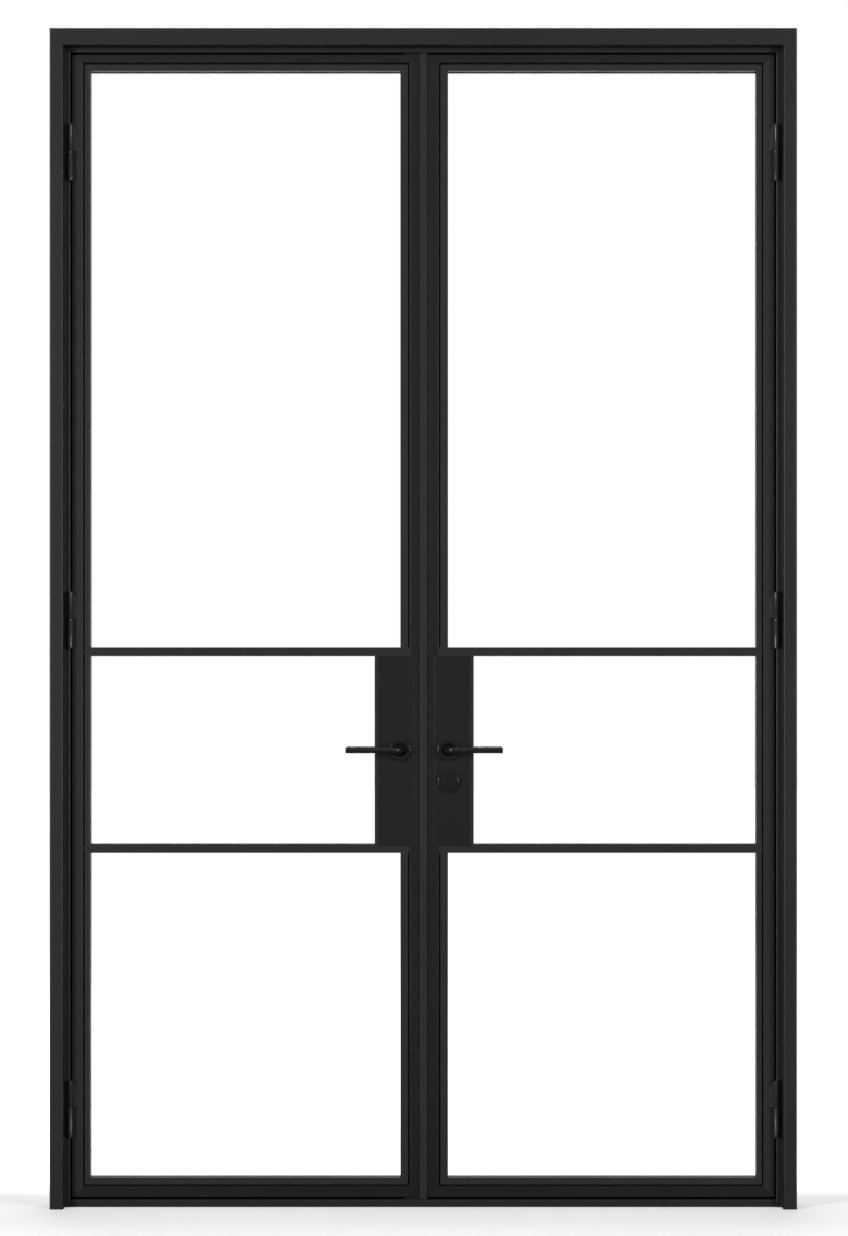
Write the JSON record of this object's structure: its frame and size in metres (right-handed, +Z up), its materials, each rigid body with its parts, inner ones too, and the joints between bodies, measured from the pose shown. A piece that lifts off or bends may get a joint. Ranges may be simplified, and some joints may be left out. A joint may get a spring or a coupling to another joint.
{
  "type": "double french doors in a frame",
  "caption": "Steel-framed double french doors with glazed leaves, glazing bars, lock boxes, lever handles and barrel hinges, hung in their own rebated frame with a low sill.",
  "frame": {"origin": "on the floor, midway between the jambs, in the middle of the closed leaves' thickness", "axes": "+X to the right seen from the front, +Y away from the front towards the back, +Z up; the leaves open towards -Y"},
  "size_m": [1.645, 0.153, 2.6],
  "materials": {
    "black_powder_coat": "satin fine powder coat",
    "black_hardware": "smooth satin",
    "plain_steel": "zinc plated",
    "bearing_steel": "turned",
    "black_rubber": "matt",
    "edge_seal": "matt",
    "clear_glass": "clear float glass"
  },
  "bodies": {
    "frame": {"left_jamb": "black_powder_coat", "right_jamb": "black_powder_coat", "head": "black_powder_coat", "sill": "black_powder_coat", "frame_seal": "black_rubber", "top_bolt_keep": "plain_steel", "bottom_bolt_keep": "plain_steel", "left_frame_knuckles": "black_hardware", "right_frame_knuckles": "black_hardware", "hinge_pins": "plain_steel", "hinge_washers": "bearing_steel"},
    "left_leaf": {"left_hinge_stile": "black_powder_coat", "left_meeting_stile": "black_powder_coat", "left_top_rail": "black_powder_coat", "left_bottom_rail": "black_powder_coat", "left_upper_muntin": "black_powder_coat", "left_lower_muntin": "black_powder_coat", "left_lock_box": "black_powder_coat", "left_glazing_beads": "black_powder_coat", "left_upper_pane": "clear_glass", "left_middle_pane": "clear_glass", "left_lower_pane": "clear_glass", "left_edge_spacers": "edge_seal", "left_glazing_gaskets": "black_rubber", "left_setting_blocks": "black_rubber", "left_leaf_knuckles": "black_hardware", "left_rosettes": "black_hardware", "bolt_gear_case": "plain_steel", "strike_plate": "plain_steel"},
    "right_leaf": {"right_hinge_stile": "black_powder_coat", "right_meeting_stile": "black_powder_coat", "right_top_rail": "black_powder_coat", "right_bottom_rail": "black_powder_coat", "right_upper_muntin": "black_powder_coat", "right_lower_muntin": "black_powder_coat", "right_lock_box": "black_powder_coat", "right_glazing_beads": "black_powder_coat", "right_upper_pane": "clear_glass", "right_middle_pane": "clear_glass", "right_lower_pane": "clear_glass", "right_edge_spacers": "edge_seal", "right_glazing_gaskets": "black_rubber", "right_setting_blocks": "black_rubber", "right_leaf_knuckles": "black_hardware", "right_rosettes": "black_hardware", "meeting_strip": "black_powder_coat", "key_escutcheons": "black_hardware", "lock_case": "plain_steel", "key_levers": "plain_steel", "lock_faceplate": "plain_steel"},
    "left_handle": {"left_front_lever": "black_hardware", "left_back_lever": "black_hardware", "left_spindle": "plain_steel"},
    "right_handle": {"right_front_lever": "black_hardware", "right_back_lever": "black_hardware", "right_spindle": "plain_steel"},
    "latch": {"latch_bolt": "plain_steel"},
    "dead_bolt": {"dead_bolt": "plain_steel"},
    "top_bolt": {"top_bolt": "plain_steel"},
    "bottom_bolt": {"bottom_bolt": "plain_steel"}
  },
  "joints": [
    {"name": "left_leaf_swing", "type": "hinge", "parent": "frame", "child": "left_leaf", "pos_m": [-0.78, -0.0305, 1.3], "axis": [0, 0, -1], "range_deg": [0, 110]},
    {"name": "right_leaf_swing", "type": "hinge", "parent": "frame", "child": "right_leaf", "pos_m": [0.78, -0.0305, 1.3], "axis": [0, 0, 1], "range_deg": [0, 110]},
    {"name": "left_handle_turn", "type": "hinge", "parent": "left_leaf", "child": "left_handle", "pos_m": [-0.051, 0, 1.0105], "axis": [0, -1, 0], "range_deg": [0, 40], "stiffness_Nm_per_rad": 1.6, "springref_deg": -28.65},
    {"name": "right_handle_turn", "type": "hinge", "parent": "right_leaf", "child": "right_handle", "pos_m": [0.055, 0, 1.0105], "axis": [0, 1, 0], "range_deg": [0, 40], "stiffness_Nm_per_rad": 1.6, "springref_deg": -28.65},
    {"name": "latch_slide", "type": "slide", "parent": "right_leaf", "child": "latch", "axis": [1, 0, 0], "range_m": [0, 0.0122]},
    {"name": "dead_bolt_slide", "type": "slide", "parent": "right_leaf", "child": "dead_bolt", "axis": [-1, 0, 0], "range_m": [0, 0.0125]},
    {"name": "top_bolt_slide", "type": "slide", "parent": "left_leaf", "child": "top_bolt", "axis": [0, 0, -1], "range_m": [0, 0.014]},
    {"name": "bottom_bolt_slide", "type": "slide", "parent": "left_leaf", "child": "bottom_bolt", "axis": [0, 0, 1], "range_m": [0, 0.014]}
  ],
  "couplings": [
    {"joint": "latch_slide", "follows": "right_handle_turn", "m_per_rad": 0.0174},
    {"joint": "top_bolt_slide", "follows": "left_handle_turn", "m_per_rad": 0.02},
    {"joint": "bottom_bolt_slide", "follows": "left_handle_turn", "m_per_rad": 0.02}
  ]
}
